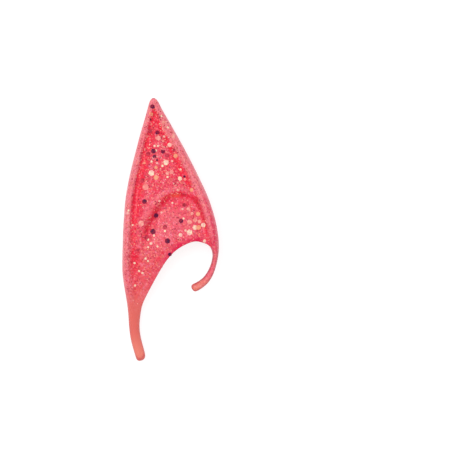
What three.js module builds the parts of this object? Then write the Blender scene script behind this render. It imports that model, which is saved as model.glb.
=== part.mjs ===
// Elf ear tip: a pointed latex shell that slips over the top of the wearer's own ear.
// It is one hollow skin. The face is sculpted like an ear, the back is plain, and the pocket between
// them opens along an arch. The tail runs down behind the ear, and the hook curls in at its front.
// It lies on its back, face up: +Y to the point, +X to the hook's side, +Z out of the face.
// Lengths are in millimetres.
import * as THREE from "three";
import { mergeVertices } from "three/addons/utils/BufferGeometryUtils.js";

// Overall size
const earLength = 105; // the tail's end to the point
const earWidth = 38.5; // outer edge to outer edge, beside the arch
const earDepth = 14.5; // the surface it lies on to the rim's crest

// Latex wall, and the pocket that it leaves for the ear
const wall = 1.5;
const pocketEdge = 0.7; // the pocket's rounding under the rim
const pocketBack = 5.0; // its rounding at the back
const backSetBack = 3.0; // how far the back wall's arch stands behind the front wall's

// Relief of the face
const grooveDepth = 1.9; // the rim's crest to the groove beside it
const grooveFall = 2.6; // the crest to the groove's floor, in plan
const fieldRise = 0.8; // the groove's floor up to the field inside it
const fieldReach = 4.0; // the width of that rise
const bowlDepth = 1.7; // the step down from the fold into the bowl over the arch
const bowlStep = 2.4; // the width of that step
const bowlReach = 11; // from the fold to where the bowl has risen to the field again
const ridgeHeight = 0.8; // the fold's ridge, outside the step
const ridgeWidth = 2.3;

// Rounding of the three ends
const tailEndRadius = 1.9;
const hookEndRadius = 1.5;
const pointRadius = 2.4;

// Narrow strips are rounded from both edges by this share of their width.
const roundShare = 0.38;

// How finely the skin is divided
const quarterSteps = 4; // over the rim, from the edge to its crest
const backQuarterSteps = 3;
const innerQuarterSteps = 2;
const lipSteps = 3;
const endSteps = 4; // over a rounded end
const limbSteps = 2; // rows for each section of the tail and the hook
const bodySteps = 3; // rows for each section of the body
const tailSideColumns = { face: 18, back: 4, pocketFace: 10, pocketBack: 2 };
const hookSideColumns = { face: 9, back: 2, pocketFace: 5, pocketBack: 2 };
const crowding = 1.25; // above 1, columns crowd towards the rim
const foldSamples = 120;
const seamEase = 2; // body sections over which the seam leaves the arch's lip
const leastRowGap = 0.3; // between a rounded end's last row and the next, as a share of a row

// Sections of the tail, from its free end up to the arch. Plan places are shares of the ear's width,
// from its left edge, and of its length, from the tail's end. archX and archY are the inner end, on the
// arch's edge. edge, rim and back are the heights of the outline, the rim's crest and the back, as shares
// of the ear's depth. groove and fall scale the groove's depth and width, hollow runs from 0, solid, to
// 1, where the pocket is open, and setBack scales how far the back wall's arch stands back.
const tail = table("x y archX archY edge rim back groove fall hollow setBack", [
  [0.143, -0.005, 0.238, 0.005, 0.135, 0.27, 0, 0.2, 0.7, 0, 0],
  [0.124, 0.023, 0.227, 0.033, 0.14, 0.28, 0, 0.2, 0.7, 0, 0],
  [0.091, 0.063, 0.199, 0.07, 0.145, 0.3, 0, 0.2, 0.7, 0, 0],
  [0.068, 0.108, 0.177, 0.111, 0.155, 0.33, 0, 0.2, 0.7, 0, 0],
  [0.059, 0.156, 0.177, 0.155, 0.18, 0.38, 0, 0.2, 0.7, 0, 0],
  [0.049, 0.205, 0.208, 0.206, 0.22, 0.47, 0, 0.25, 0.75, 0.3, 0.05],
  [0.031, 0.25, 0.263, 0.255, 0.27, 0.58, 0, 0.4, 0.84, 1, 0.3],
  [0.014, 0.292, 0.328, 0.299, 0.32, 0.69, 0, 0.6, 0.9, 1, 0.6],
  [0.002, 0.33, 0.396, 0.343, 0.36, 0.78, 0, 0.8, 0.92, 1, 0.85],
  [0, 0.364, 0.466, 0.383, 0.4, 0.86, 0, 0.95, 0.92, 1, 1],
  [0.002, 0.396, 0.553, 0.418, 0.43, 0.92, 0, 1, 0.9, 1, 1],
  [0.005, 0.425, 0.65, 0.441, 0.45, 0.96, 0, 1, 0.88, 1, 1],
]);

// Sections of the hook, from its free end up to the arch, in the same columns.
const hook = table("x y archX archY edge rim back groove fall hollow setBack", [
  [0.739, 0.261, 0.7, 0.292, 0.43, 0.56, 0.3, 0, 1, 0, 0],
  [0.781, 0.268, 0.743, 0.297, 0.43, 0.56, 0.3, 0, 1, 0, 0],
  [0.832, 0.28, 0.791, 0.306, 0.43, 0.565, 0.3, 0, 1, 0, 0],
  [0.89, 0.299, 0.841, 0.321, 0.43, 0.58, 0.29, 0, 1, 0, 0],
  [0.936, 0.326, 0.882, 0.342, 0.43, 0.61, 0.27, 0, 1, 0, 0],
  [0.967, 0.357, 0.914, 0.369, 0.435, 0.67, 0.23, 0, 1, 0, 0],
  [0.986, 0.386, 0.929, 0.393, 0.44, 0.75, 0.17, 0.1, 1, 0, 0],
  [0.996, 0.409, 0.931, 0.411, 0.445, 0.82, 0.11, 0.3, 1, 0, 0],
  [1, 0.427, 0.912, 0.429, 0.45, 0.885, 0.06, 0.6, 1, 0.2, 0.03],
  [1, 0.445, 0.881, 0.442, 0.455, 0.925, 0.025, 0.9, 1, 0.8, 0.18],
  [0.998, 0.463, 0.829, 0.45, 0.46, 0.95, 0.01, 1, 1, 1, 0.55],
]);

// Sections of the body, from the arch's top to the point: its left edge, the seam where its two
// halves meet, and its right edge.
const body = table(
  "leftX leftY seamX seamY rightX rightY edge rim back groove leftFall rightFall hollow setBack",
  [
    [0.008, 0.455, 0.754, 0.455, 0.9915, 0.485, 0.46, 0.97, 0, 1, 0.86, 0.96, 1, 1],
    [0.0105, 0.488, 0.725, 0.492, 0.977, 0.517, 0.46, 0.99, 0, 1, 0.85, 1, 1, 0.94],
    [0.0152, 0.522, 0.69, 0.526, 0.957, 0.548, 0.46, 1, 0, 1, 0.84, 1, 1, 0.87],
    [0.022, 0.558, 0.652, 0.561, 0.931, 0.58, 0.46, 0.995, 0, 1, 0.82, 0.98, 1, 0.78],
    [0.0298, 0.598, 0.607, 0.6, 0.895, 0.618, 0.455, 0.975, 0, 1, 0.8, 0.94, 1, 0.68],
    [0.0446, 0.639, 0.563, 0.64, 0.852, 0.655, 0.45, 0.945, 0, 1, 0.78, 0.88, 1, 0.57],
    [0.0695, 0.69, 0.515, 0.69, 0.79, 0.702, 0.435, 0.895, 0, 0.98, 0.76, 0.82, 1, 0.46],
    [0.1, 0.74, 0.47, 0.74, 0.727, 0.749, 0.42, 0.84, 0, 0.93, 0.72, 0.76, 1, 0.35],
    [0.136, 0.793, 0.425, 0.793, 0.656, 0.799, 0.4, 0.775, 0.01, 0.86, 0.67, 0.7, 1, 0.24],
    [0.178, 0.854, 0.385, 0.854, 0.568, 0.857, 0.38, 0.7, 0.03, 0.76, 0.61, 0.63, 1, 0.13],
    [0.226, 0.915, 0.355, 0.915, 0.478, 0.915, 0.36, 0.61, 0.07, 0.64, 0.55, 0.55, 0.9, 0.04],
    [0.259, 0.96, 0.333, 0.96, 0.406, 0.96, 0.34, 0.53, 0.11, 0.5, 0.55, 0.55, 0, 0],
    [0.288, 1, 0.322, 1, 0.356, 1, 0.31, 0.45, 0.15, 0.3, 0.55, 0.55, 0, 0],
  ],
);

// The fold that bounds the bowl over the arch, from beside the tail up and over to the right rim, and
// how strongly it stands at each place.
const fold = table("x y strength", [
  [0.21, 0.4, 0],
  [0.224, 0.45, 0.45],
  [0.255, 0.5, 0.8],
  [0.308, 0.539, 1],
  [0.371, 0.575, 1],
  [0.448, 0.611, 1],
  [0.547, 0.632, 1],
  [0.655, 0.63, 0.95],
  [0.747, 0.611, 0.9],
  [0.812, 0.575, 0.75],
  [0.848, 0.525, 0.4],
  [0.86, 0.475, 0],
]);

// Rows of numbers with named columns
function table(names, rows) {
  const columns = names.split(" ");
  return rows.map((row) => Object.fromEntries(columns.map((name, i) => [name, row[i]])));
}

// One column of a table as a smooth curve, read at a row number that may lie between two rows
function smoothColumn(rows, name) {
  const curve = new THREE.SplineCurve(rows.map((row, i) => new THREE.Vector2(i, row[name])));
  return (at) => curve.getPoint(at / (rows.length - 1)).y;
}

function planPoint(xShare, yShare) {
  return new THREE.Vector2(xShare * earWidth, yShare * earLength);
}

const smoothStep = (distance, reach) => THREE.MathUtils.smoothstep(distance, 0, reach);
const quarter = (step, steps) => ((Math.PI / 2) * step) / steps;

// A point of the skin: so far from start along a plan direction, at a height
function skinPoint(start, direction, distance, height) {
  return new THREE.Vector3(start.x + direction.x * distance, start.y + direction.y * distance, height);
}

// Where the body's halves meet
const seam = bodyPlaces("seam");

// The arch's edge, from the tail's end over its top to the hook's end
const archPoints = [...tail, { archX: body[0].seamX, archY: body[0].seamY }, ...hook.toReversed()];
const arch = new THREE.SplineCurve(archPoints.map((row) => planPoint(row.archX, row.archY)));

// The arch's edge at a row of the tail or hook, and the plan direction from there into the opening
function archEdge(pointNumber) {
  const share = pointNumber / (archPoints.length - 1);
  const along = arch.getTangent(share);
  return { edge: arch.getPoint(share), into: new THREE.Vector2(along.y, -along.x) };
}

// The fold as points along its curve, each with its direction and strength
const foldCurve = new THREE.SplineCurve(fold.map((row) => planPoint(row.x, row.y)));
const foldStrength = smoothColumn(fold, "strength");
const foldLine = Array.from({ length: foldSamples + 1 }, (_, i) => ({
  point: foldCurve.getPoint(i / foldSamples),
  along: foldCurve.getTangent(i / foldSamples),
  strength: foldStrength((i / foldSamples) * (fold.length - 1)),
}));

// The fold's height at a plan point: a ridge outside its line, and inside it a step down into the bowl,
// which rises again towards the arch
function foldRelief(place) {
  const distanceTo = (sample) => sample.point.distanceTo(place);
  const nearer = (best, sample) => (distanceTo(sample) < distanceTo(best) ? sample : best);
  const nearest = foldLine.reduce(nearer);
  const inside = nearest.along.cross(nearest.point.clone().sub(place));
  const ridge = ridgeHeight * Math.exp(-(((inside + ridgeWidth) / ridgeWidth) ** 2));
  const rise = smoothStep(inside - bowlStep / 2, bowlReach - bowlStep / 2);
  const bowl = bowlDepth * smoothStep(inside + bowlStep / 2, bowlStep) * (1 - rise);
  return nearest.strength * (ridge - bowl);
}

// How far the rim's crest lies in from the outer edge
const crestInset = (row) => Math.min(wall + pocketEdge, row.width * roundShare);

// The face's height at a plan point of a row, so far in from the row's own outer edge
function faceHeight(row, place, distance) {
  const farDistance = Math.abs(place.x - row.farEdge.x);
  const between = (start, reach) =>
    smoothStep(distance - start, reach) * smoothStep(farDistance - start, reach);
  const crest = crestInset(row);
  const fall = grooveFall * row.fall;
  const groove = grooveDepth * row.groove * between(crest, fall);
  const field = fieldRise * row.groove * between(crest + fall, fieldReach);
  return row.rim - groove + field + foldRelief(place) * between(crest, fall);
}

// One wall of a half section, from the outer edge inwards: an elliptical quarter down to a level, and
// then a run of points to the section's end at the heights that levelAt gives. A pocket's wall starts a
// wall's thickness in.
function wallPoints({ outer, edge }, { startWay, end, radius, level, inset, steps, count, levelAt }) {
  const way = end.clone().sub(outer).normalize();
  const over = Array.from({ length: steps + 1 }, (_, i) => {
    const turn = quarter(i, steps);
    const distance = inset + (radius - inset) * (1 - Math.cos(turn));
    return skinPoint(outer, i === 0 ? startWay : way, distance, edge + (level - edge) * Math.sin(turn));
  });
  const along = Array.from({ length: count }, (_, i) => {
    const distance = THREE.MathUtils.lerp(radius, outer.distanceTo(end), ((i + 1) / count) ** crowding);
    const point = skinPoint(outer, way, distance, level);
    point.z = levelAt(new THREE.Vector2(point.x, point.y), distance);
    return point;
  });
  return [...over, ...along];
}

// One half of a section: the face and the back, and the pocket's walls a wall's thickness inside them.
// Towards a solid strip the pocket closes to a point, the pinch.
function halfSection(row, columns) {
  const { outer, faceEnd, backEnd, rim, back, hollow, solidEnd } = row;
  const startWay = faceEnd.clone().sub(outer).normalize();
  const pinch = new THREE.Vector3(solidEnd.x, solidEnd.y, (rim + back) / 2);
  const closing = (points) => points.map((point) => pinch.clone().lerp(point, hollow));
  const ofFace = { startWay, end: faceEnd, radius: crestInset(row) };
  const ofBack = { startWay, end: backEnd, radius: Math.min(wall + pocketBack, row.width * roundShare) };
  const face = wallPoints(row, {
    ...ofFace,
    level: rim,
    inset: 0,
    steps: quarterSteps,
    count: columns.face,
    levelAt: (place, distance) => faceHeight(row, place, distance),
  });
  const backWall = wallPoints(row, {
    ...ofBack,
    level: back,
    inset: 0,
    steps: backQuarterSteps,
    count: columns.back,
    levelAt: () => back,
  });
  const pocketFace = wallPoints(row, {
    ...ofFace,
    level: rim - wall,
    inset: wall,
    steps: innerQuarterSteps,
    count: columns.pocketFace,
    levelAt: (place, distance) => faceHeight(row, place, distance) - wall,
  });
  const pocketBackWall = wallPoints(row, {
    ...ofBack,
    level: back + wall,
    inset: wall,
    steps: innerQuarterSteps,
    count: columns.pocketBack,
    levelAt: () => back + wall,
  });
  const lists = {
    face,
    back: backWall,
    pocketFace: closing(pocketFace),
    pocketBack: closing(pocketBackWall),
  };
  return { lists, pinch };
}

// The rounded lip where a wall ends at the arch, from its outside to its inside. inwards is -1 on the
// face, whose inside is below it, and 1 on the back. Where the strip is solid the lip is its rounded
// edge, and the two lips meet at the pinch.
function lip(from, inwards, { into, bead, hollow }, pinch) {
  return Array.from({ length: lipSteps + 1 }, (_, i) => {
    const turn = quarter(i, lipSteps);
    const inside = from.z + (inwards * wall * (1 - Math.cos(2 * turn))) / 2;
    const openLip = skinPoint(from, into, bead * Math.sin(2 * turn), inside);
    const closed = from.clone().lerp(pinch, Math.sin(turn));
    closed.z = THREE.MathUtils.lerp(pinch.z, from.z, Math.cos(turn));
    return closed.lerp(openLip, hollow);
  });
}

// Row numbers of a strip, each with the size that its rounded free end leaves it: close together over
// that end, and then evenly on to the last row
function rowNumbers(rowCount, steps, endRadius, firstSpacing) {
  const over = Array.from({ length: endSteps + 1 }, (_, i) => {
    const turn = quarter(i, endSteps);
    return { at: (endRadius * (1 - Math.cos(turn))) / firstSpacing, size: Math.sin(turn) };
  });
  const even = Array.from({ length: (rowCount - 1) * steps + 1 }, (_, i) => ({ at: i / steps, size: 1 }));
  const clearOfEnd = endRadius / firstSpacing + leastRowGap / steps;
  return [...over, ...even.filter((row) => row.at > clearOfEnd)];
}

// Draws a row's lists of points in towards its middle, which rounds a free end
function shrinkRow(lists, middle, size) {
  for (const points of Object.values(lists)) {
    points.forEach((point) => point.lerpVectors(middle, point.clone(), size));
  }
  return lists;
}

// What one side's rows are read from: its columns as smooth curves, numbered from its limb's free end
// past the arch's top to the point, and where its limb's rows meet the arch
function makeSide({ limb, near, far, archNumber, endRadius, columns }) {
  const bodyRows = body.map((row) => ({
    ...row,
    x: row[`${near}X`],
    y: row[`${near}Y`],
    fall: row[`${near}Fall`],
  }));
  const rows = [...limb, ...bodyRows];
  const names = ["x", "y", "edge", "rim", "back", "groove", "fall", "hollow", "setBack"];
  const read = Object.fromEntries(names.map((name) => [name, smoothColumn(rows, name)]));
  return { read, apex: limb.length, limb, farEdge: bodyPlaces(far), archNumber, endRadius, columns };
}

// A place of the body's table at a row number: left, seam or right
function bodyPlaces(name) {
  const x = smoothColumn(body, `${name}X`);
  const y = smoothColumn(body, `${name}Y`);
  return (at) => planPoint(x(at), y(at));
}

// What a row reads from its side's curves, with heights and lengths in millimetres
function rowValues({ read }, at) {
  const share = (name) => THREE.MathUtils.clamp(read[name](at), 0, 1);
  return {
    outer: planPoint(read.x(at), read.y(at)),
    edge: share("edge") * earDepth,
    rim: share("rim") * earDepth,
    back: share("back") * earDepth,
    groove: share("groove"),
    fall: read.fall(at),
    hollow: share("hollow"),
    setBack: share("setBack") * backSetBack,
  };
}

// A row of the tail or the hook, whose inner end is the arch's edge
function limbRow(side, at, size) {
  const row = rowValues(side, at);
  const { edge: archPoint, into } = archEdge(side.archNumber(at));
  row.width = row.outer.distanceTo(archPoint);
  row.farEdge = side.farEdge(0);
  row.into = into;
  row.bead = THREE.MathUtils.lerp(row.width * roundShare, wall / 2, row.hollow);
  row.faceEnd = archPoint.clone().addScaledVector(into, -row.bead);
  row.backEnd = row.faceEnd.clone().addScaledVector(into, -row.setBack);
  row.solidEnd = archPoint;
  const { lists, pinch } = halfSection(row, side.columns);
  lists.faceLip = lip(lists.face.at(-1), -1, row, pinch);
  lists.backLip = lip(lists.back.at(-1), 1, row, pinch);
  const middle = row.outer.clone().lerp(archPoint, 0.5);
  return shrinkRow(lists, new THREE.Vector3(middle.x, middle.y, pinch.z), size);
}

// A row of the body, whose inner end is the seam with the other half. The seam starts behind the lip at
// the arch's top, and the back's rows start behind the face's.
function bodyRow(side, at, size) {
  const row = rowValues(side, side.apex + at);
  const { into } = archEdge(side.archNumber(side.apex));
  row.farEdge = side.farEdge(at);
  row.width = row.outer.distanceTo(row.farEdge);
  row.faceEnd = seam(at).addScaledVector(into, (-wall / 2) * (1 - smoothStep(at, seamEase)));
  row.backEnd = row.faceEnd.clone().addScaledVector(into, -row.setBack);
  row.solidEnd = row.outer.clone().lerp(row.farEdge, 0.5);
  const { lists, pinch } = halfSection(row, side.columns);
  return shrinkRow(lists, pinch, size);
}

// All rows of one side: its limb's from the free end to the arch's top, then the body's to the point
function sideRows(side) {
  const middleOf = ({ x, y, archX, archY }) => planPoint((x + archX) / 2, (y + archY) / 2);
  const limbSpacing = middleOf(side.limb[0]).distanceTo(middleOf(side.limb[1]));
  const limbNumbers = rowNumbers(side.apex + 1, limbSteps, side.endRadius, limbSpacing);
  const pointSpacing = (body.at(-1).seamY - body.at(-2).seamY) * earLength;
  const fromPoint = rowNumbers(body.length, bodySteps, pointRadius, pointSpacing).reverse();
  const bodyNumbers = fromPoint.map(({ at, size }) => ({ at: body.length - 1 - at, size }));
  return {
    limbRows: limbNumbers.map(({ at, size }) => limbRow(side, at, size)),
    bodyRows: bodyNumbers.slice(1).map(({ at, size }) => bodyRow(side, at, size)),
  };
}

// The two halves share the points where they meet.
function joinHalves(rows, otherRows) {
  const share = (row, other) => {
    for (const name of ["face", "back", "pocketFace", "pocketBack"]) {
      other[name].splice(-1, 1, row[name].at(-1));
    }
  };
  const top = rows.limbRows.at(-1);
  const otherTop = otherRows.limbRows.at(-1);
  share(top, otherTop);
  otherTop.faceLip = top.faceLip;
  otherTop.backLip = top.backLip;
  rows.bodyRows.forEach((row, i) => share(row, otherRows.bodyRows[i]));
}

// Triangles between neighbouring rows, for one list of points in each. turned is for skins whose rows
// and points would otherwise face inwards.
function skin(rows, name, turned) {
  const triangles = [];
  for (let r = 0; r + 1 < rows.length; r += 1) {
    const [low, high] = [rows[r][name], rows[r + 1][name]];
    for (let c = 0; c + 1 < low.length; c += 1) {
      const corners = [low[c], low[c + 1], high[c + 1], high[c]];
      const [a, b, d, e] = turned ? corners.toReversed() : corners;
      triangles.push([a, b, d], [a, d, e]);
    }
  }
  return triangles;
}

// All skins of one side. The hook's side runs the other way, so its faces are turned.
function sideSkins({ limbRows, bodyRows }, mirrored) {
  const allRows = [...limbRows, ...bodyRows];
  return [
    ...skin(allRows, "face", mirrored),
    ...skin(allRows, "back", !mirrored),
    ...skin(allRows, "pocketFace", !mirrored),
    ...skin(allRows, "pocketBack", mirrored),
    ...skin(limbRows, "faceLip", mirrored),
    ...skin(limbRows, "backLip", !mirrored),
  ];
}

// A closed geometry from triangles of points: equal points are shared, and flat leftovers are dropped
function closedGeometry(triangles) {
  const loose = new THREE.BufferGeometry().setFromPoints(triangles.flat());
  const merged = mergeVertices(loose, 1e-3);
  const index = Array.from(merged.index.array);
  const kept = [];
  for (let i = 0; i < index.length; i += 3) {
    const corners = new Set(index.slice(i, i + 3));
    if (corners.size === 3) kept.push(...corners);
  }
  merged.setIndex(kept);
  merged.computeVertexNormals();
  return merged;
}

function earShell() {
  const tailSide = makeSide({
    limb: tail,
    near: "left",
    far: "right",
    archNumber: (at) => at,
    endRadius: tailEndRadius,
    columns: tailSideColumns,
  });
  const hookSide = makeSide({
    limb: hook,
    near: "right",
    far: "left",
    archNumber: (at) => archPoints.length - 1 - at,
    endRadius: hookEndRadius,
    columns: hookSideColumns,
  });
  const tailRows = sideRows(tailSide);
  const hookRows = sideRows(hookSide);
  joinHalves(tailRows, hookRows);
  return closedGeometry([...sideSkins(tailRows, false), ...sideSkins(hookRows, true)]);
}

// Coral pink dyed latex with a satin skin
const latex = new THREE.MeshStandardMaterial({ color: 0xf0607a, roughness: 0.42, metalness: 0 });

const shell = new THREE.Mesh(earShell(), latex);
shell.name = "ear_shell";

// The ear's own frame has its origin on the surface that it lies on, under the middle of its outline.
shell.geometry.computeBoundingBox();
const outline = shell.geometry.boundingBox;
const middle = outline.getCenter(new THREE.Vector3());
shell.position.set(-middle.x, -middle.y, -outline.min.z);

const earTip = new THREE.Group();
earTip.add(shell);

export default earTip;
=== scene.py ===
import math

import bmesh
import bpy
import numpy as np
from mathutils import Matrix, Vector
from mathutils.bvhtree import BVHTree


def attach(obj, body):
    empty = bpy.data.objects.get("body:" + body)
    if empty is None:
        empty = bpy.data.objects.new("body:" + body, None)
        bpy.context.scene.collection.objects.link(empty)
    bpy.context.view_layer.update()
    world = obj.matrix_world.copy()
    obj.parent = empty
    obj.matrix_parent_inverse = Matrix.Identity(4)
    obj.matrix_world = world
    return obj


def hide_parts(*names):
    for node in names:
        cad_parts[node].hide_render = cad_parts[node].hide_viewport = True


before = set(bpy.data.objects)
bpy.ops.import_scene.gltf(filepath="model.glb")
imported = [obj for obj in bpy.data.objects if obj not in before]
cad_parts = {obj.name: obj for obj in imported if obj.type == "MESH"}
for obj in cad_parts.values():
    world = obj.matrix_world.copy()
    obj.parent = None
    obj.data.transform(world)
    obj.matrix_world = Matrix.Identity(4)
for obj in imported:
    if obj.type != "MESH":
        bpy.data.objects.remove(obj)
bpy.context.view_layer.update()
MM = 0.001


# The view: a long lens half a metre above the table, looking straight down.
# The picture is 460 pixels square.
PICTURE = 460
CAMERA_PLACE = Vector((23.6, -0.1, 514)) * MM
LENS, SENSOR = 100, 36

camera_data = bpy.data.cameras.new("camera")
camera_data.lens = LENS
camera_data.sensor_width = SENSOR
camera = bpy.data.objects.new("camera", camera_data)
camera.location = CAMERA_PLACE
bpy.context.scene.collection.objects.link(camera)
bpy.context.scene.camera = camera


# The studio: a white sheet lit a little from below, so that shadows on it stay faint, under a wide
# softbox, with a smaller one on the left that brings out the relief, in a pale room. Colours are
# shown as they are.
def srgb(red, green, blue):
    """A colour given as a screen shows it, 0 to 255, in the linear values that a shader takes."""
    shares = (np.array((red, green, blue)) / 255 + 0.055) / 1.055
    return (*(shares**2.4), 1)


def softbox(name, place, size, power):
    """A square light at a place in millimetres, turned to the ear tip."""
    data = bpy.data.lights.new(name, "AREA")
    data.size = size * MM
    data.energy = power
    light = bpy.data.objects.new(name, data)
    light.location = Vector(place) * MM
    light.rotation_euler = (-light.location).to_track_quat("-Z", "Y").to_euler()
    bpy.context.scene.collection.objects.link(light)


def finished_piece(name, bm):
    """A new object at the origin from a bmesh, smooth shaded."""
    mesh = bpy.data.meshes.new(name)
    bm.to_mesh(mesh)
    bm.free()
    mesh.shade_smooth()
    piece = bpy.data.objects.new(name, mesh)
    bpy.context.scene.collection.objects.link(piece)
    return piece


ROOM_LIGHT = 0.56
TABLE_HALF_WIDTH = 1500
TABLE_DROP = 0.05
TABLE_GREY = 0.26
TABLE_GLOW = 0.8

bpy.context.scene.view_settings.view_transform = "Standard"
room = bpy.data.worlds.new("room")
room.use_nodes = True
room.node_tree.nodes["Background"].inputs["Color"].default_value = (1, 1, 1, 1)
room.node_tree.nodes["Background"].inputs["Strength"].default_value = ROOM_LIGHT
bpy.context.scene.world = room
softbox("top_softbox", (20, 60, 900), 700, 2.9)
softbox("left_softbox", (-240, 150, 640), 240, 1.0)

sheet_mesh = bmesh.new()
bmesh.ops.create_grid(sheet_mesh, x_segments=1, y_segments=1, size=TABLE_HALF_WIDTH * MM)
bmesh.ops.translate(sheet_mesh, vec=(0, 0, -TABLE_DROP * MM), verts=sheet_mesh.verts)
table = finished_piece("table", sheet_mesh)
table_white = bpy.data.materials.new("table_white")
table_white.use_nodes = True
table_finish = table_white.node_tree.nodes["Principled BSDF"].inputs
table_finish["Base Color"].default_value = (TABLE_GREY, TABLE_GREY, TABLE_GREY, 1)
table_finish["Roughness"].default_value = 0.6
table_finish["Emission Color"].default_value = (1, 1, 1, 1)
table_finish["Emission Strength"].default_value = TABLE_GLOW
table.data.materials.append(table_white)


# The skin: one dipped and moulded shell of latex, painted coral with deeper crimson in its grooves
# and salmon on its tail and hook, and brushed with a satin top coat. It is the CAD shell with its
# triangles paired into quads and smoothed.
CORAL = srgb(238, 58, 88)
ROSE = srgb(242, 112, 126)
CRIMSON = srgb(244, 30, 64)
DEEP_CRIMSON = srgb(208, 10, 42)
MAGENTA = srgb(234, 30, 84)
# The arch's magenta below is painted shade along the rounded edge of the arch.
ARCH_SHADE_MAGENTA = srgb(224, 16, 74)
SALMON = srgb(230, 107, 99)
SALMON_ROSE = srgb(238, 104, 108)
PEACH_SKIN = srgb(237, 130, 114)
INNER_SKIN = srgb(244, 156, 140)
# The plum below is painted shade for the sides that turn away from above.
PLUM_SIDE_SHADE = srgb(220, 24, 76)
PALE = srgb(250, 148, 156)
PINK_GRAIN = srgb(250, 150, 178)
CREAM_GRAIN = srgb(252, 160, 132)
WINE = srgb(184, 20, 50)
RUST = srgb(246, 84, 60)
# The wine of the slim edges below is painted shade where the tail and the hook turn away.
EDGE_SHADE_WINE = srgb(196, 34, 66)

shell = bmesh.new()
shell.from_mesh(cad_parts["ear_shell"].data)
bmesh.ops.remove_doubles(shell, verts=shell.verts, dist=0.001 * MM)
bmesh.ops.join_triangles(
    shell,
    faces=shell.faces,
    angle_face_threshold=math.radians(60),
    angle_shape_threshold=math.radians(120),
    topology_influence=1.0,
)
skin = finished_piece("latex_skin", shell)
rounding = skin.modifiers.new("rounding", "SUBSURF")
rounding.levels = 2
rounding.render_levels = 2
depsgraph = bpy.context.evaluated_depsgraph_get()
skin_mesh = bpy.data.meshes.new_from_object(skin.evaluated_get(depsgraph))
skin.modifiers.clear()
skin.data = skin_mesh

skin_points = np.empty((len(skin_mesh.vertices), 3))
skin_mesh.vertices.foreach_get("co", skin_points.ravel())
skin_normals = np.empty_like(skin_points)
skin_mesh.vertices.foreach_get("normal", skin_normals.ravel())
skin_edges = np.empty((len(skin_mesh.edges), 2), np.int32)
skin_mesh.edges.foreach_get("vertices", skin_edges.ravel())


def even_out(values, rounds):
    """Every point's value averaged with those of its neighbours, a number of times."""
    count = len(values)
    ends = np.concatenate((skin_edges, skin_edges[:, ::-1]))
    neighbours = np.bincount(ends[:, 0], minlength=count)
    for _ in range(rounds):
        around = np.bincount(ends[:, 0], weights=values[ends[:, 1]], minlength=count)
        values = (values + around / neighbours) / 2
    return values


def spread_out(grid, rounds):
    """Every place's value on a grid averaged with those of the four beside it, a number of times."""
    for _ in range(rounds):
        edged = np.pad(grid, 1)
        beside = edged[:-2, 1:-1] + edged[2:, 1:-1] + edged[1:-1, :-2] + edged[1:-1, 2:]
        grid = (grid + beside / 4) / 2
    return grid


skin_tree = BVHTree.FromPolygons(skin_points, [tuple(face.vertices) for face in skin_mesh.polygons])
UP = Vector((0, 0, 1))
GRID_STEP = 0.6 * MM
GRID_EDGE = 8 * MM
HIGH_UP = 100 * MM
RELIEF_ROUNDS = 130
WITHIN_ROUNDS = 30
MAP_ROUNDS = 5
grid_low = skin_points.min(axis=0)[:2] - GRID_EDGE
grid_size = np.ceil((skin_points.max(axis=0)[:2] + GRID_EDGE - grid_low) / GRID_STEP).astype(int)
top_heights = np.zeros(grid_size)
top_seen = np.zeros(grid_size)
for cell in np.ndindex(*grid_size):
    spot = grid_low + np.array(cell) * GRID_STEP
    hit = skin_tree.ray_cast(Vector((spot[0], spot[1], HIGH_UP)), -UP)[0]
    if hit is not None:
        top_heights[cell] = hit.z
        top_seen[cell] = 1
seen_around = np.maximum(spread_out(top_seen, RELIEF_ROUNDS), 0.001)
heights_around = spread_out(top_heights, RELIEF_ROUNDS) / seen_around
cell_of_point = tuple(np.rint((skin_points[:, :2] - grid_low) / GRID_STEP).astype(int).T)
relief = even_out((skin_points[:, 2] - heights_around[cell_of_point]) / MM, MAP_ROUNDS)
within = even_out(spread_out(top_seen, WITHIN_ROUNDS)[cell_of_point], MAP_ROUNDS)


def paint_map(name, values):
    """A value for every point of the skin, which its material reads by name."""
    layer = skin_mesh.attributes.new(name, "FLOAT", "POINT")
    layer.data.foreach_set("value", values.astype(np.float32))


def is_covered(point, normal):
    """Whether the shell's other wall lies straight above or below a point: true in the pocket."""
    start = Vector(point + normal * 0.05 * MM)
    return skin_tree.ray_cast(start, UP if normal[2] > 0 else -UP)[0] is not None


points_and_normals = zip(skin_points, skin_normals)
inside = np.array([is_covered(point, normal) for point, normal in points_and_normals], float)

# The maps that the paint follows: how far a place stands over the ground around it, how far it lies
# within the outline seen from above, how much it looks up, and whether it is in the pocket.
paint_map("relief", relief)
paint_map("within", within)
paint_map("upward", even_out(skin_normals[:, 2], 4))
paint_map("inside", even_out(inside, 3))


def new_node(tree, kind, **sockets):
    """A node with some of its inputs set: a value on the socket, or a link where it is an output."""
    node = tree.nodes.new(kind)
    for name, value in sockets.items():
        socket = node.inputs[name.replace("_", " ")]
        if isinstance(value, bpy.types.NodeSocket):
            tree.links.new(value, socket)
        else:
            socket.default_value = value
    return node


def painted(tree, name):
    """The output of a paint map."""
    node = tree.nodes.new("ShaderNodeAttribute")
    node.attribute_name = name
    return node.outputs["Fac"]


def eased(tree, value, low, high, at_low=0.0, at_high=1.0):
    """A value that eases from at_low to at_high as another goes from low to high."""
    node = new_node(tree, "ShaderNodeMapRange", Value=value)
    node.interpolation_type = "SMOOTHSTEP"
    node.inputs["From Min"].default_value = low
    node.inputs["From Max"].default_value = high
    node.inputs["To Min"].default_value = at_low
    node.inputs["To Max"].default_value = at_high
    return node.outputs["Result"]


def combined(tree, operation, first, second):
    """Two values added, multiplied or otherwise combined."""
    node = tree.nodes.new("ShaderNodeMath")
    node.operation = operation
    for socket, value in zip(node.inputs, (first, second)):
        if isinstance(value, bpy.types.NodeSocket):
            tree.links.new(value, socket)
        else:
            socket.default_value = value
    return node.outputs["Value"]


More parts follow.
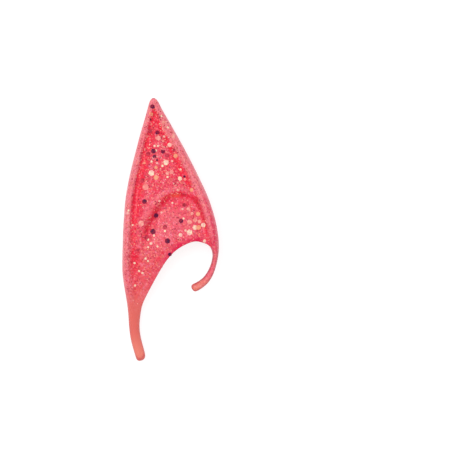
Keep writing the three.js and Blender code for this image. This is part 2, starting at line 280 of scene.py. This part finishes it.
def product(tree, first, *others):
    """Several values multiplied."""
    for other in others:
        first = combined(tree, "MULTIPLY", first, other)
    return first


def remainder(tree, share):
    """What a share leaves of one."""
    return combined(tree, "SUBTRACT", 1, share)


def reaching(tree, along_axis, start, end, at_start=0.0, at_end=1.0):
    """A value that eases from at_start to at_end between two places in millimetres on an axis."""
    return eased(tree, along_axis, start * MM, end * MM, at_start, at_end)


def tinted(tree, share, under, over):
    """A colour laid over another by a share from 0 to 1."""
    node = tree.nodes.new("ShaderNodeMix")
    node.data_type = "RGBA"
    tree.links.new(share, node.inputs["Factor"])
    for socket, colour in ((node.inputs[6], under), (node.inputs[7], over)):
        if isinstance(colour, bpy.types.NodeSocket):
            tree.links.new(colour, socket)
        else:
            socket.default_value = colour
    return node.outputs[2]


def cloudy(tree, place, size, detail=2.0):
    """Soft noise whose patches are about size millimetres across."""
    noise = new_node(tree, "ShaderNodeTexNoise", Vector=place, Scale=1 / (size * MM), Detail=detail)
    return noise.outputs["Fac"]


latex = bpy.data.materials.new("coral_latex")
latex.use_nodes = True
paint = latex.node_tree
place = paint.nodes.new("ShaderNodeTexCoord").outputs["Object"]
axes = new_node(paint, "ShaderNodeSeparateXYZ", Vector=place).outputs
across, along = axes["X"], axes["Y"]
relief_map = painted(paint, "relief")
within_map = painted(paint, "within")
upward_map = painted(paint, "upward")
inside_map = painted(paint, "inside")

# Where the tail, the hook, the flanks and the sides of the arch are, as shares from 0 to 1.
MIDLINE_LEAN = 0.14
tail_share = reaching(paint, along, -18, -34)
tail_end = reaching(paint, along, -39, -49)
hook_share = product(paint, reaching(paint, across, 4, 7), reaching(paint, along, -3, -11))
hook_end = reaching(paint, along, -17, -23)
face_share = eased(paint, upward_map, 0.0, 0.5)
flank_share = eased(paint, within_map, 0.92, 0.78)
over_arch = reaching(paint, along, 0, 5)
left_of_arch = reaching(paint, across, -8, -12)
right_of_arch = reaching(paint, across, 11, 14)
beside_arch = combined(paint, "MAXIMUM", left_of_arch, right_of_arch)
outer_side = combined(paint, "MAXIMUM", over_arch, beside_arch)
inner_side = remainder(paint, outer_side)
from_midline = combined(paint, "ADD", across, product(paint, along, MIDLINE_LEAN))
left_side = reaching(paint, from_midline, 2, -1)

# The rolled rims: a band inside the outline, which narrows towards the point.
near_point = product(paint, left_side, reaching(paint, along, 28, 47, 0.02, 0.13))
narrowing = combined(paint, "ADD", near_point, reaching(paint, along, 41, 50, 0, 0.06))
rim_by_width = eased(paint, combined(paint, "ADD", within_map, narrowing), 0.994, 0.957)
rim_share = product(paint, rim_by_width, outer_side, reaching(paint, along, -32, -18, 0.25, 1))

# The grooves: the low ground with its ragged edge, the point, and the step of the inner fold.
mottling = eased(paint, cloudy(paint, place, 1.2, 3.0), 0.3, 0.7, -0.22, 0.22)
mottled_relief = combined(paint, "ADD", relief_map, mottling)
low_ground = eased(paint, mottled_relief, 0.26, -0.36)
low_or_point = combined(paint, "MAXIMUM", low_ground, reaching(paint, along, 36, 44, 0, 0.8))
fold_width = product(paint, reaching(paint, across, -12, -9), eased(paint, within_map, 0.975, 0.997))
under_fold = product(paint, fold_width, reaching(paint, along, 16, 12, 0, 0.7))
fold_place = product(paint, fold_width, reaching(paint, along, 18, 16))
fold_step = product(paint, fold_place, eased(paint, upward_map, 0.97, 0.9, 0, 0.8))
groove_floor = product(paint, low_or_point, remainder(paint, under_fold))
groove_floor = combined(paint, "MAXIMUM", groove_floor, fold_step)
arch_edge = product(paint, eased(paint, within_map, 0.98, 0.93, 0, 0.75), inner_side)
groove_share = product(
    paint,
    groove_floor,
    face_share,
    reaching(paint, along, -8, -20, 1.0, 0.4),
    remainder(paint, rim_share),
    remainder(paint, arch_edge),
)

# The marks in the field: a salmon tinge low down, a rosy middle of the bowl, crimson blotches in the
# grooves, an orange-red smear on the fold, and a dark line of painted shade where the fold's step turns
# away.
tinge_width = eased(paint, within_map, 0.95, 0.995, 0.45, 0.55)
low_field = product(paint, tinge_width, reaching(paint, along, 0, -13))
bowl_middle = product(
    paint,
    reaching(paint, across, -9, -2, 0, 0.3),
    eased(paint, within_map, 0.97, 0.998),
    reaching(paint, along, 11, 6),
)
blotches = eased(paint, cloudy(paint, place, 1.0, 2.0), 0.5, 0.68, 0, 0.6)
# Painted shade: a dark line where the step of the fold turns away from the light.
fold_shade_line = product(paint, fold_place, eased(paint, upward_map, 0.88, 0.83, 0, 0.5))
fold_smear = product(
    paint,
    reaching(paint, across, -0.8, 0.4, 0, 0.6),
    reaching(paint, across, 4.8, 3.2),
    reaching(paint, along, 12.4, 13.2),
    reaching(paint, along, 14.8, 14.0),
)

# The rubbed and paler places on the rims and the flanks, and a painted highlight on the left rim's inner
# slope.
rubbed_width = eased(paint, within_map, 0.995, 0.93, 0.45, 1)
rubbed_rim = product(paint, eased(paint, mottled_relief, 0.15, 0.9), rubbed_width)
right_side = remainder(paint, left_side)
pale_rim = product(paint, rim_share, right_side, reaching(paint, along, -4, 24, 0.1, 0.6))
left_length = product(paint, left_side, reaching(paint, along, -22, -8))
# Painted highlight: paler colour on the inner slope of the left rim, which lifts the shade that falls on
# it.
left_slope_highlight = product(paint, rim_share, left_length, eased(paint, within_map, 0.86, 0.94, 0, 0.55))
pale_length = combined(paint, "MAXIMUM", left_length, reaching(paint, along, 8, 18, 0, 0.8))
pale_flank = product(paint, pale_length, eased(paint, within_map, 0.92, 0.78, 0, 0.4))

# The magenta and crimson round the root of the hook, and painted shade along the arch and slim edges.
CHANNEL_LEAN = 0.33
hook_side = reaching(paint, across, -6, 9)
hook_flank = product(paint, flank_share, hook_side, reaching(paint, along, 18, 7, 0.15, 0.9))
hook_root = product(
    paint,
    reaching(paint, across, 4, 9, 0, 0.4),
    reaching(paint, along, 1, -2),
    reaching(paint, along, -13, -8),
)
beside_root = combined(paint, "ADD", across, product(paint, along, CHANNEL_LEAN))
root_channel = product(
    paint,
    reaching(paint, beside_root, 12.2, 13.4, 0, 0.6),
    reaching(paint, beside_root, 15.2, 14.2),
    reaching(paint, along, 7, 3),
    reaching(paint, along, -9, -5),
)
# Painted shade: magenta along the rounded edge of the arch, where it turns away.
arch_shade_line = product(
    paint,
    inner_side,
    reaching(paint, along, -22, -7, 0.1, 1),
    remainder(paint, hook_share),
    eased(paint, within_map, 0.95, 0.74, 0, 0.85),
)
# Painted shade: dark slim edges along the sides of the tail and the hook, where they turn away.
tail_edge_shade = product(paint, tail_share, eased(paint, within_map, 0.62, 0.48, 0, 0.42))
hook_edge_shade = product(paint, hook_share, eased(paint, upward_map, 0.85, 0.4, 0, 0.7))

# The finest glitter, too small for a mesh: pale and dark grains wherever the skin looks up.
GRAIN_WIDTH = 0.5
grains = new_node(paint, "ShaderNodeTexVoronoi", Vector=place, Scale=1 / (GRAIN_WIDTH * MM))
grain_shade = new_node(paint, "ShaderNodeSeparateColor", Color=grains.outputs["Color"]).outputs
grain_colour = tinted(paint, eased(paint, grain_shade["Blue"], 0.4, 0.6), PINK_GRAIN, CREAM_GRAIN)
dusted = product(
    paint,
    face_share,
    reaching(paint, along, -35, -20),
    eased(paint, groove_share, 0.2, 0.9, 1, 0.6),
    remainder(paint, arch_shade_line),
)
pale_grains = product(paint, eased(paint, grain_shade["Red"], 0.5, 1.0, 0, 0.5), dusted)
dark_grains = product(
    paint,
    eased(paint, grain_shade["Green"], 0.45, 1.0, 0, 0.54),
    dusted,
    eased(paint, within_map, 0.6, 0.9, 0.45, 1),
)

# The coats over the first one, in the order they are laid on: a share and its colour. The fold line, the
# arch line, the slim edges and the plum on the sides are painted shade; the pale left slope is a painted
# highlight.
HOOK_COVER = 0.85
rose_patches = eased(paint, cloudy(paint, place, 3.0, 5.0), 0.4, 0.68, 0, 0.4)
coral_patches = eased(paint, cloudy(paint, place, 5.0, 4.0), 0.38, 0.66, 0, 0.4)
rubbed_rose = tinted(paint, coral_patches, ROSE, CORAL)
coats = (
    (low_field, SALMON_ROSE),
    (groove_share, CRIMSON),
    (bowl_middle, ROSE),
    (product(paint, groove_share, blotches), DEEP_CRIMSON),
    (fold_shade_line, DEEP_CRIMSON),
    (fold_smear, RUST),
    (combined(paint, "MAXIMUM", rubbed_rim, rim_share), ROSE),
    (pale_rim, PALE),
    (left_slope_highlight, PALE),
    (product(paint, flank_share, outer_side), rubbed_rose),
    (pale_flank, PALE),
    (hook_flank, MAGENTA),
    (hook_root, MAGENTA),
    (root_channel, CRIMSON),
    (arch_shade_line, ARCH_SHADE_MAGENTA),
    (tail_share, SALMON),
    (tail_end, PEACH_SKIN),
    (product(paint, hook_share, HOOK_COVER), ROSE),
    (product(paint, hook_share, hook_end), PEACH_SKIN),
    (tail_edge_shade, EDGE_SHADE_WINE),
    (hook_edge_shade, EDGE_SHADE_WINE),
    (pale_grains, grain_colour),
    (dark_grains, WINE),
    # Painted shade: plum on the sides that turn away from above.
    (eased(paint, upward_map, 0.35, 0.05, 0, 0.3), PLUM_SIDE_SHADE),
    (eased(paint, upward_map, -0.1, -0.6), rubbed_rose),
    (inside_map, INNER_SKIN),
)
colour = tinted(paint, rose_patches, CORAL, ROSE)
for coat_share, coat_colour in coats:
    colour = tinted(paint, coat_share, colour, coat_colour)

# The satin top coat, finely pitted and brushed.
pitting = cloudy(paint, place, 0.5, 3.0)
brushing = cloudy(paint, place, 2.6, 3.0)
fine_bump = new_node(paint, "ShaderNodeBump", Strength=0.18, Distance=0.25 * MM, Height=pitting)
broad_bump = new_node(paint, "ShaderNodeBump", Strength=0.25, Distance=0.5 * MM, Height=brushing)
paint.links.new(fine_bump.outputs["Normal"], broad_bump.inputs["Normal"])
surface = paint.nodes["Principled BSDF"]
paint.links.new(colour, surface.inputs["Base Color"])
paint.links.new(eased(paint, brushing, 0.3, 0.7, 0.34, 0.5), surface.inputs["Roughness"])
paint.links.new(broad_bump.outputs["Normal"], surface.inputs["Normal"])
surface.inputs["Coat Weight"].default_value = 0.08
surface.inputs["Coat Roughness"].default_value = 0.2
surface.inputs["Specular IOR Level"].default_value = 0.2
surface.inputs["Subsurface Weight"].default_value = 0.12
surface.inputs["Subsurface Radius"].default_value = (1.0, 0.35, 0.3)
surface.inputs["Subsurface Scale"].default_value = 1.2 * MM
skin.data.materials.append(latex)
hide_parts("ear_shell")
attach(skin, "root")


# The large glitter: six-sided flakes of film, bedded in the top coat by hand. Each row charts one in
# the picture's pixels: from the left, from the top, and its width. A flake is seated where the line
# of sight through its pixel meets the skin, and follows the skin's bend.
NAVY_FLAKES = (
    (152.5, 106.5, 4.8), (157.5, 132.5, 4.5), (153.5, 151.0, 5.0), (154.5, 156.5, 4.0), (163.0, 151.5, 4.5),
    (144.5, 201.5, 5.0), (156.0, 215.5, 5.0), (153.0, 231.5, 5.5), (181.0, 221.0, 4.5), (167.5, 241.0, 5.5),
    (170.0, 254.5, 4.0), (150.5, 119.5, 2.0), (184.5, 176.5, 2.5), (157.0, 160.0, 2.2),
)
MAUVE_FLAKES = (
    (150.0, 131.0, 4.5), (148.0, 154.0, 4.5), (142.5, 180.5, 4.5), (165.0, 227.0, 4.5), (146.5, 237.5, 5.0),
    (184.5, 205.0, 4.5), (174.0, 150.0, 3.0), (137.5, 250.0, 3.0), (167.0, 155.5, 4.0),
)
PEARL_FLAKES = (
    (151.5, 173.0, 6.0), (166.0, 162.5, 5.5), (169.5, 145.0, 4.5), (189.5, 232.5, 6.0), (203.5, 225.0, 5.0),
    (180.5, 235.0, 4.0), (195.0, 227.5, 5.0), (180.0, 178.5, 4.5), (204.5, 241.0, 3.5), (127.5, 213.0, 3.0),
    (134.5, 263.0, 2.5), (139.0, 271.0, 2.5), (151.0, 243.5, 3.0), (197.0, 175.0, 3.0), (161.5, 116.0, 2.5),
    (168.0, 127.5, 2.5), (164.0, 136.5, 2.5), (154.5, 146.0, 2.5), (158.0, 146.0, 2.2), (156.0, 150.5, 2.2),
    (151.5, 161.5, 2.5), (157.0, 163.0, 2.2), (162.5, 166.0, 2.5), (167.5, 177.0, 2.2), (180.5, 169.5, 2.5),
    (172.0, 161.0, 2.2), (159.5, 201.0, 2.5), (172.5, 203.0, 2.2), (161.5, 212.5, 2.2), (128.5, 210.5, 2.2),
    (165.0, 231.0, 2.5), (154.0, 235.5, 2.5), (183.5, 218.5, 2.2), (182.5, 209.0, 2.2), (148.0, 239.5, 2.5),
    (148.0, 247.0, 2.2), (145.5, 258.5, 2.5), (148.0, 261.0, 2.2), (157.5, 246.5, 2.2), (142.5, 273.0, 2.5),
    (185.5, 230.5, 2.5), (132.5, 225.0, 2.2), (135.0, 285.5, 2.2),
)
GOLD_FLAKES = (
    (156.0, 167.5, 3.5), (156.0, 177.5, 5.0), (175.5, 156.0, 4.5), (151.5, 114.0, 4.0), (198.0, 214.0, 4.5),
    (191.5, 190.0, 4.0), (144.5, 163.0, 2.5), (187.0, 246.0, 2.5), (198.5, 227.5, 5.0),
)
PEACH_FLAKES = (
    (163.5, 123.0, 5.0), (173.0, 136.0, 5.5), (158.5, 138.0, 5.0), (171.5, 172.0, 4.5), (167.5, 173.0, 4.0),
    (145.5, 187.0, 6.5), (141.0, 223.5, 6.0), (195.0, 220.0, 4.5), (199.5, 221.5, 4.0), (185.0, 179.5, 3.0),
    (188.5, 209.0, 4.0), (189.5, 222.0, 5.0), (192.0, 213.5, 3.5), (178.0, 190.0, 3.0), (163.0, 141.0, 3.0),
)
FLAKE_THICKNESS = 0.10
FLAKE_TAPER = 0.93
FLAKE_BEND = 0.7
FLAKE_TILT = 1.5
FLAKE_SWELL = 1.06
PROBE = 2
chance = np.random.default_rng(21)


def seen_place(across_picture, down_picture):
    """Where the line of sight through a pixel meets the skin, and the skin's normal there."""
    pixel = SENSOR / LENS / PICTURE
    sight = Vector(((across_picture - PICTURE / 2) * pixel, (PICTURE / 2 - down_picture) * pixel, -1))
    point, normal, _, _ = skin_tree.ray_cast(CAMERA_PLACE, sight.normalized())
    return point, normal


def flake_frame(point, normal, tilt):
    """A frame that stands on the skin, turned at random about its normal and tilted a little."""
    lean = Vector(chance.normal(0, math.tan(math.radians(tilt)), 3))
    upright = (normal + lean).normalized().to_track_quat("Z", "Y").to_matrix().to_4x4()
    return Matrix.Translation(point) @ upright @ Matrix.Rotation(chance.uniform(0, math.tau), 4, "Z")


def add_plate(bm, radius, plate_frame):
    """The corners of a new bevelled plate of film with six sides."""
    made = bmesh.ops.create_cone(
        bm,
        cap_ends=True,
        segments=6,
        radius1=radius,
        radius2=radius * FLAKE_TAPER,
        depth=FLAKE_THICKNESS * MM,
        matrix=plate_frame,
    )
    return made["verts"]


def add_large_flake(bm, across_picture, down_picture, width):
    """One flake of a width in pixels, bent to the skin under it."""
    point, normal = seen_place(across_picture, down_picture)
    if point is None:
        return
    radius = width * (CAMERA_PLACE.z - point.z) * SENSOR / LENS / PICTURE / 2 * FLAKE_SWELL
    plate = add_plate(bm, radius, flake_frame(point, normal, FLAKE_TILT))
    caps = dict.fromkeys(face for corner in plate for face in corner.link_faces if len(face.verts) == 6)
    plate += bmesh.ops.poke(bm, faces=list(caps))["verts"]
    stand_off = 0
    for corner in plate:
        under = skin_tree.ray_cast(corner.co + normal * PROBE * MM, -normal, 2 * PROBE * MM)[0]
        if under is not None:
            height = (under - point).dot(normal)
            corner.co += normal * height * FLAKE_BEND
            stand_off = max(stand_off, height * (1 - FLAKE_BEND))
    bmesh.ops.translate(bm, vec=normal * (stand_off + FLAKE_THICKNESS / 2 * MM), verts=plate)


charted = {
    "navy": NAVY_FLAKES,
    "mauve": MAUVE_FLAKES,
    "pearl": PEARL_FLAKES,
    "gold": GOLD_FLAKES,
    "peach": PEACH_FLAKES,
}
glitter = {colour_name: bmesh.new() for colour_name in charted}
for colour_name, flakes in charted.items():
    for flake in flakes:
        add_large_flake(glitter[colour_name], *flake)


# The fine glitter: the same film cut small and shaken over the wet coat. It lies thick in the field
# between the rims and thin on the rims, and stops before the tail and the hook.
# For each film: how many flakes, and their smallest and largest width.
FINE_FLAKES = {
    "pearl": (75, 0.2, 0.5),
    "peach": (400, 0.25, 0.6),
    "gold": (26, 0.25, 0.55),
    "mauve": (420, 0.2, 0.6),
    "navy": (26, 0.2, 0.45),
}
FINE_SEAT = 0.03
FINE_TILT = 6

skin_mesh.calc_loop_triangles()
corners = np.empty((len(skin_mesh.loop_triangles), 3), np.int32)
skin_mesh.loop_triangles.foreach_get("vertices", corners.ravel())
spots = skin_points[corners].mean(axis=1) / MM
first, second, third = (skin_points[corners[:, column]] for column in range(3))
outward = np.cross(second - first, third - first)
areas = np.linalg.norm(outward, axis=1)
facing = outward[:, 2] / areas
in_pocket = inside[corners].max(axis=1)
height_over = relief[corners].mean(axis=1)


def ease(values, low, high):
    """0 at low, 1 at high, and a smooth rise between them."""
    share = np.clip((values - low) / (high - low), 0, 1)
    return share * share * (3 - 2 * share)


# How likely a flake is to land on each triangle of the skin.
spots_across, spots_along = spots[:, 0], spots[:, 1]
on_hook = ease(spots_across, 4, 7) * ease(spots_along, -3, -10)
on_rims = ease(height_over, 0.2, 1.0) * ease(within[corners].mean(axis=1), 0.995, 0.93)
in_grooves = ease(height_over, 0.1, -0.4) * ease(spots_along, 36, 24)
towards_point = 0.6 + ease(spots_along, 5, 30)
likely = areas * ease(facing, 0.15, 0.7) * (1 - in_pocket)
likely *= 1 - 0.6 * in_grooves
likely *= ease(spots_along, -38, 0) * (1 - 0.85 * on_hook) * (1 - 0.5 * on_rims) * towards_point
likely /= likely.sum()

for colour_name, (count, smallest, largest) in FINE_FLAKES.items():
    for face in chance.choice(len(likely), count, p=likely):
        shares = chance.dirichlet((1, 1, 1))
        point = Vector(shares @ skin_points[corners[face]])
        normal = Vector(outward[face]).normalized()
        radius = chance.uniform(smallest, largest) / 2 * MM
        seat = point + normal * FINE_SEAT * MM
        add_plate(glitter[colour_name], radius, flake_frame(seat, normal, FINE_TILT))

# For each film: its deep and its light colour, and how much it glints.
FILM_COLOURS = {
    "navy": (srgb(80, 18, 62), srgb(146, 18, 54), 0.12),
    "mauve": (srgb(162, 38, 58), srgb(208, 58, 80), 0.16),
    "pearl": (srgb(248, 226, 190), srgb(246, 176, 170), 0.22),
    "gold": (srgb(242, 146, 112), srgb(244, 168, 130), 0.22),
    "peach": (srgb(242, 132, 128), srgb(250, 172, 160), 0.22),
}
for colour_name, (deep, light, glint) in FILM_COLOURS.items():
    piece = finished_piece(colour_name + "_glitter", glitter[colour_name])
    piece.data.shade_flat()
    film = bpy.data.materials.new(colour_name + "_film")
    film.use_nodes = True
    foil = film.node_tree
    spot = foil.nodes.new("ShaderNodeTexCoord").outputs["Object"]
    shade = eased(foil, cloudy(foil, spot, 1.0, 2.0), 0.35, 0.65)
    gloss = eased(foil, cloudy(foil, spot, 0.4, 2.0), 0.3, 0.7, 0.3, 0.5)
    film_surface = foil.nodes["Principled BSDF"]
    foil.links.new(tinted(foil, shade, deep, light), film_surface.inputs["Base Color"])
    foil.links.new(gloss, film_surface.inputs["Roughness"])
    film_surface.inputs["Specular IOR Level"].default_value = glint
    piece.data.materials.append(film)
    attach(piece, "root")
